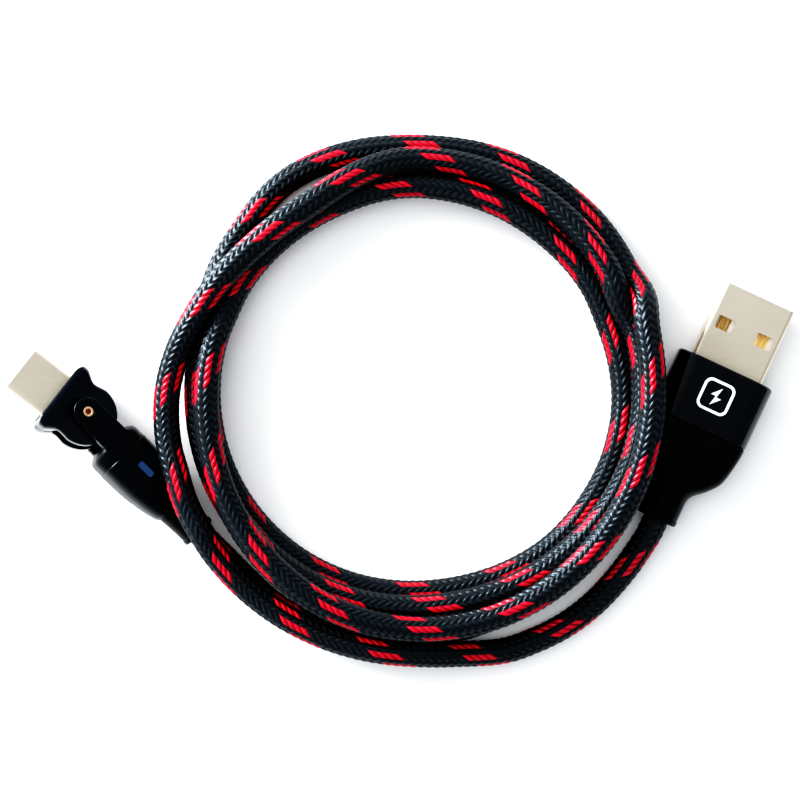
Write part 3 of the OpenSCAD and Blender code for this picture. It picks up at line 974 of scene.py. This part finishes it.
def slot_cutter():
    """The block that cuts the window's slot into the top of the handle."""
    outline = section(*WINDOW_SLOT, WINDOW_ROUND, 8)
    low = [(WINDOW_X + x, y, 3.2) for x, y in outline]
    high = [(WINDOW_X + x, y, 5.0) for x, y in outline]
    points, faces = skin([low, high])
    mesh = bpy.data.meshes.new("slot")
    mesh.from_pydata([[c * MM for c in AT_HANDLE @ Vector(p)] for p in points], [], faces)
    built = bmesh.new()
    built.from_mesh(mesh)
    bmesh.ops.recalc_face_normals(built, faces=built.faces)
    built.to_mesh(mesh)
    built.free()
    cutter = bpy.data.objects.new("slot", mesh)
    bpy.context.scene.collection.objects.link(cutter)
    return cutter


def cut_slot(piece):
    """Cuts the slot into a piece's mesh for good, and removes the block that cut it."""
    cutter = slot_cutter()
    cut = piece.modifiers.new("slot", "BOOLEAN")
    cut.operation = "DIFFERENCE"
    cut.object = cutter
    cut.solver = "EXACT"
    piece.modifiers["weighted"].show_viewport = False
    bpy.context.view_layer.update()
    graph = bpy.context.evaluated_depsgraph_get()
    result = bpy.data.meshes.new_from_object(piece.evaluated_get(graph), depsgraph=graph)
    piece.modifiers.remove(cut)
    piece.modifiers["weighted"].show_viewport = True
    piece.data = result
    bpy.data.objects.remove(cutter)


def make_sleeve(material):
    """Handle behind the seam, with the slot for the light window cut through its top."""
    rings = [lift(SEAM, oval(4.4, 4.0, 3.4)), lift(SEAM - 0.12, oval(4.5, 4.1, 3.4))]
    for back, w, h in smooth_stations(SLEEVE_SHAPE, 0.4)[1:-1]:
        rings.append(lift(SEAM - back, oval(w, h, 3.4 - 0.08 * back)))
    rings.append(lift(SLEEVE_BACK, oval(3.12, 3.05, 2.5)))
    sleeve = make_piece("handle_rear_sleeve", [skin(rings)], AT_HANDLE, material, "cable",
                        ["handle_sleeve"])
    cut_slot(sleeve)


def make_strain_relief(material):
    """Tapered tail with a soft end lip round the cord."""
    profile = [
        (SLEEVE_BACK + 0.1, 2.85), (SLEEVE_BACK, 2.98), (-21.5, 2.88), (-23.5, 2.78),
        (-25.2, 2.75), (-25.35, 2.86), (-25.6, 2.9), (-26.0, 2.88), (-26.15, 2.78),
        (RELIEF_BACK, 2.6), (RELIEF_BACK, 2.3), (-26.1, 2.2), (-25.0, 2.2),
    ]
    rings = [lift(x, oval(r, r, 2, 64)) for x, r in profile]
    make_piece("handle_strain_relief", [skin(rings)], AT_HANDLE, material, "cable",
               ["strain_relief"])


# ---------------------------------------------------------------- CAD nodes that show

def dress_nodes(looks):
    """Gives each CAD node that stays the material of its record slot."""
    slots = {s["node"]: s["material_slot"] for s in frame["record"]["subparts"]}
    for name, node in frame["nodes"].items():
        material = looks.get(slots[name])
        if material is None:
            continue
        node.data.materials.clear()
        node.data.materials.append(material)


def make_floor():
    """Plain pale table that fades into the background."""
    half = 1500 * MM
    mesh = bpy.data.meshes.new("table_top")
    mesh.from_pydata(
        [(-half, -half, 0), (half, -half, 0), (half, half, 0), (-half, half, 0)], [],
        [(0, 1, 2, 3)],
    )
    floor = bpy.data.objects.new("table_top", mesh)
    bpy.context.scene.collection.objects.link(floor)
    material, nodes, links, shader = new_material("table_top", grey(0.9), 0.65)
    patches = noise(nodes, links, 6.0, 2.0)
    links.new(
        ramp(nodes, links, patches.outputs["Fac"], grey(0.89), grey(0.92)),
        shader.inputs["Base Color"],
    )
    shader.inputs["Specular IOR Level"].default_value = 0.2
    mesh.materials.append(material)


make_camera()
make_cord()
make_light()
make_floor()

steel = metal("plug_steel", (0.87, 0.75, 0.61), 0.46, (0.1, 1, 1))
cover_black = moulded(
    "cover_black", (0.001, 0.0015, 0.003), 0.07, 900.0, 0.02, 0.03, coat=0.3, shine=0.3
)
boot_black = moulded("boot_black", grey(0.003), 0.34, 3000.0, 0.12, 0.06, shine=0.16)
handle_black = moulded(
    "handle_black", (0.001, 0.002, 0.004), 0.3, 2600.0, 0.06, 0.05, shine=0.22
)
head_black = moulded(
    "head_black", (0.001, 0.0025, 0.006), 0.16, 1800.0, 0.04, 0.04, coat=0.1, shine=0.35
)

gold = metal("contact_gold", (1.0, 0.72, 0.32), 0.42, (0.3, 1, 1), 0.04)
make_cover(cover_black)
make_contact_leaves(gold)
make_boot(boot_black)
make_head(head_black)
make_usb_c_shell(steel)
make_yoke(handle_black)
make_sleeve(handle_black)
brass = metal("screw_brass", (0.95, 0.66, 0.42), 0.3)
# The sockets' dark red-brown is painted shade in the recess.
make_screws(brass, metal("screw_socket", (0.3, 0.06, 0.03), 0.45))
make_strain_relief(boot_black)
dress_nodes({
    "plug_steel": steel,
    "spring_steel": metal("spring_steel", (0.6, 0.6, 0.6), 0.3, (0.3, 1, 1)),
    "contact_gold": gold,
    "white_nylon": moulded("white_nylon", (0.8, 0.78, 0.72), 0.45),
    "black_nylon": moulded("black_nylon", grey(0.012), 0.45),
    "board_green": board_material(),
    "led_white": moulded("led_white", (0.85, 0.8, 0.5), 0.4),
    "print_white": moulded("print_white", grey(0.85), 0.5, 4000.0, 0.05),
    "wire_pvc": wire_material(),
    "jacket": moulded("jacket", grey(0.015), 0.5),
    "window_blue": moulded("window_blue", (0.01, 0.035, 0.09), 0.12, 1500.0, 0.03, 0.03, 0.5),
    "screw_brass": brass,
    "boot_black": boot_black,
    "handle_black": handle_black,
    "head_black": head_black,
    "cover_black": cover_black,
})
